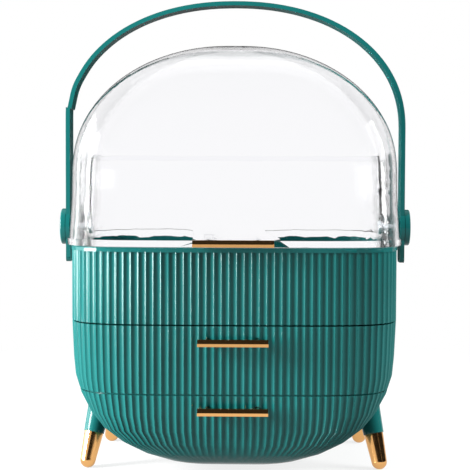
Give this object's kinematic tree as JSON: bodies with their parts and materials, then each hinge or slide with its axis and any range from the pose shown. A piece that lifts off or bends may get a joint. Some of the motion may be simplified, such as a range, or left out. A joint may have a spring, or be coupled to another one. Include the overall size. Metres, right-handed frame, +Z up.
{
  "type": "makeup organizer",
  "caption": "Egg-shaped fluted makeup organizer on splayed legs, with drawers, an open top tray under a clear hood that turns back, and an upright carrying handle.",
  "frame": {"origin": "centre of the whole object's box, at the level of the feet", "axes": "+Z up, -Y towards the user, +X to the user's right"},
  "size_m": [0.2876, 0.1995, 0.3752],
  "materials": {
    "green_case": "satin moulded ABS, deep teal green",
    "green_inner": "satin moulded ABS, deep teal green",
    "green_bail": "satin moulded ABS, deep teal green",
    "clear_shell": "clear polystyrene, polished",
    "gold_trim": "bright gold plating",
    "steel_fasteners": "zinc-plated steel"
  },
  "bodies": {
    "case": {"casing": "green_case", "top_tray": "green_case", "middle_shelf": "green_inner", "casing_screws": "steel_fasteners", "rear_guard": "clear_shell", "knob_left": "green_case", "knob_right": "green_case", "pivot_spacer_left": "green_case", "pivot_spacer_right": "green_case", "pivot_bolt_left": "steel_fasteners", "pivot_bolt_right": "steel_fasteners", "leg_front_left": "gold_trim", "leg_socket_front_left": "green_case", "leg_stud_front_left": "steel_fasteners", "leg_front_right": "gold_trim", "leg_socket_front_right": "green_case", "leg_stud_front_right": "steel_fasteners", "leg_rear_left": "gold_trim", "leg_socket_rear_left": "green_case", "leg_stud_rear_left": "steel_fasteners", "leg_rear_right": "gold_trim", "leg_socket_rear_right": "green_case", "leg_stud_rear_right": "steel_fasteners"},
    "upper_drawer": {"upper_front": "green_case", "upper_box": "green_inner", "upper_pull": "gold_trim", "upper_pull_screws": "steel_fasteners"},
    "lower_drawer": {"lower_front": "green_case", "lower_box": "green_inner", "lower_pull": "gold_trim", "lower_pull_screws": "steel_fasteners"},
    "hood": {"hood": "clear_shell", "hood_pull": "gold_trim", "hood_pull_screws": "steel_fasteners"},
    "handle": {"bail": "green_bail"}
  },
  "joints": [
    {"name": "upper_drawer_slide", "type": "slide", "parent": "case", "child": "upper_drawer", "axis": [0, -1, 0], "range_m": [0, 0.095]},
    {"name": "lower_drawer_slide", "type": "slide", "parent": "case", "child": "lower_drawer", "axis": [0, -1, 0], "range_m": [0, 0.095]},
    {"name": "hood_turn", "type": "hinge", "parent": "case", "child": "hood", "pos_m": [0, 0.00425, 0.1905], "axis": [-1, 0, 0], "range_deg": [0, 45]},
    {"name": "handle_swing", "type": "hinge", "parent": "case", "child": "handle", "pos_m": [0, 0.00425, 0.1905], "axis": [1, 0, 0], "range_deg": [-90, 90]}
  ]
}
